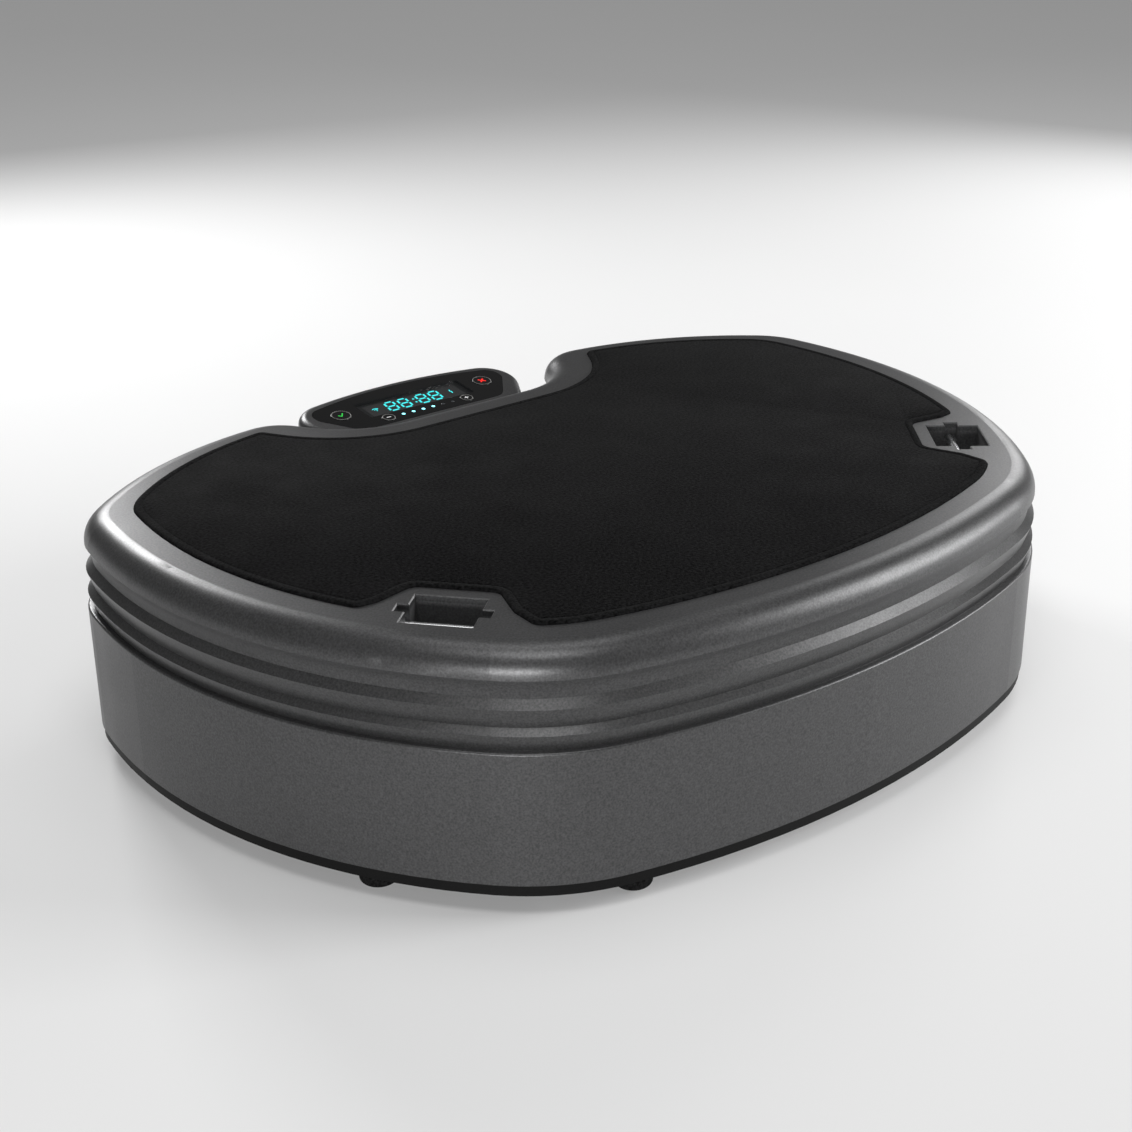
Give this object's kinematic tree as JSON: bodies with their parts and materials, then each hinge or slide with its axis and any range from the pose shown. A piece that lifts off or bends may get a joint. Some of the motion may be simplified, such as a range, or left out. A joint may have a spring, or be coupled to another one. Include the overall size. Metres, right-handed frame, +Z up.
{
  "type": "vibration plate",
  "caption": "Low, wide vibration plate: a sprung standing deck with a black mat and strap pockets, over a fixed base with a tilted console in a rear notch.",
  "frame": {"origin": "centre of the overall box on the standing surface, under the rubber feet", "axes": "+X to the user's right when facing the console, +Y from the plain front wall to the console, +Z up"},
  "size_m": [0.69, 0.538, 0.176],
  "materials": {
    "deck_grey": "fine moulded texture, satin",
    "body_grey": "fine moulded texture, satin",
    "pan_black": "matt black",
    "bellows_rubber": "satin dark grey elastomer",
    "mat_rubber": "matt black, fine grain",
    "foot_rubber": "matt black",
    "isolator_rubber": "matt black",
    "cup_plastic": "matt black",
    "pin_steel": "bright",
    "zinc_steel": "zinc plated",
    "coated_steel": "black powder coat",
    "cast_aluminium": "cast",
    "supply_case": "folded sheet",
    "bearing_steel": "ground",
    "laminations": "lacquered laminations",
    "shaft_steel": "ground",
    "weight_iron": "as cast",
    "panel_gloss": "gloss black",
    "window_glass": "tinted clear",
    "display_dark": "dark grey display",
    "led_blue": "blue, lit",
    "board_green": "solder mask",
    "switch_black": "matt",
    "key_gloss": "gloss black",
    "inlet_black": "matt black",
    "contact_brass": "bright",
    "rocker_black": "gloss black"
  },
  "bodies": {
    "base": {"base_pan": "pan_black", "rubber_feet": "foot_rubber", "foot_screws": "zinc_steel", "foot_nuts": "zinc_steel", "lower_shell": "body_grey", "shell_screws": "zinc_steel", "bellows": "bellows_rubber", "base_rails": "coated_steel", "isolator_base_plates": "coated_steel", "isolators": "isolator_rubber", "isolator_lower_bolts": "zinc_steel", "console_housing": "body_grey", "console_screws": "zinc_steel", "console_panel": "panel_gloss", "display_window": "window_glass", "display_module": "display_dark", "level_leds": "led_blue", "console_board": "board_green", "key_switches": "switch_black", "board_screws": "zinc_steel", "power_supply": "supply_case", "drive_board": "board_green", "heat_sink": "cast_aluminium", "power_plate": "inlet_black", "power_screws": "zinc_steel", "power_inlet": "inlet_black", "inlet_contacts": "contact_brass", "switch_frame": "inlet_black"},
    "deck": {"top_shell": "deck_grey", "deck_mat": "mat_rubber", "strap_cup_right": "cup_plastic", "strap_cup_left": "cup_plastic", "strap_pins": "pin_steel", "deck_plate": "coated_steel", "deck_screws": "zinc_steel", "isolator_top_plates": "coated_steel", "isolator_upper_bolts": "zinc_steel", "deck_legs": "coated_steel", "deck_stiffeners": "coated_steel", "motor_housing_right": "cast_aluminium", "motor_housing_left": "cast_aluminium", "motor_caps": "cast_aluminium", "motor_cap_screws": "zinc_steel", "motor_bearings": "bearing_steel", "stators": "laminations", "motor_saddles": "cast_aluminium", "motor_straps": "zinc_steel", "clamp_screws": "zinc_steel"},
    "rotor_right": {"rotor_core_right": "laminations", "rotor_shaft_right": "shaft_steel", "eccentric_weights_right": "weight_iron"},
    "rotor_left": {"rotor_core_left": "laminations", "rotor_shaft_left": "shaft_steel", "eccentric_weights_left": "weight_iron"},
    "start_key": {"start_key": "key_gloss"},
    "stop_key": {"stop_key": "key_gloss"},
    "minus_key": {"minus_key": "key_gloss"},
    "plus_key": {"plus_key": "key_gloss"},
    "power_rocker": {"power_rocker": "rocker_black"}
  },
  "joints": [
    {"name": "deck_bounce", "type": "slide", "parent": "base", "child": "deck", "axis": [0, 0, 1], "range_m": [-0.004, 0.003], "stiffness_N_per_m": 300000, "springref_m": 0.00068, "deforming": ["bellows", "isolators"]},
    {"name": "rotor_right_spin", "type": "hinge", "parent": "deck", "child": "rotor_right", "pos_m": [0.095, -0.035, 0.1175], "axis": [0, 1, 0], "continuous": true},
    {"name": "rotor_left_spin", "type": "hinge", "parent": "deck", "child": "rotor_left", "pos_m": [-0.095, -0.035, 0.1175], "axis": [0, 1, 0], "continuous": true},
    {"name": "power_rocker_tilt", "type": "hinge", "parent": "base", "child": "power_rocker", "pos_m": [0.026, 0.25996, 0.064], "axis": [1, 0, 0], "range_deg": [-16, 0]},
    {"name": "start_key_press", "type": "slide", "parent": "base", "child": "start_key", "axis": [0, 0.1392, -0.9903], "range_m": [0, 0.0006], "stiffness_N_per_m": 1500},
    {"name": "stop_key_press", "type": "slide", "parent": "base", "child": "stop_key", "axis": [0, 0.1392, -0.9903], "range_m": [0, 0.0006], "stiffness_N_per_m": 1500},
    {"name": "minus_key_press", "type": "slide", "parent": "base", "child": "minus_key", "axis": [0, 0.1392, -0.9903], "range_m": [0, 0.0006], "stiffness_N_per_m": 1500},
    {"name": "plus_key_press", "type": "slide", "parent": "base", "child": "plus_key", "axis": [0, 0.1392, -0.9903], "range_m": [0, 0.0006], "stiffness_N_per_m": 1500}
  ],
  "couplings": [
    {"joint": "rotor_left_spin", "follows": "rotor_right_spin", "ratio": -1}
  ]
}
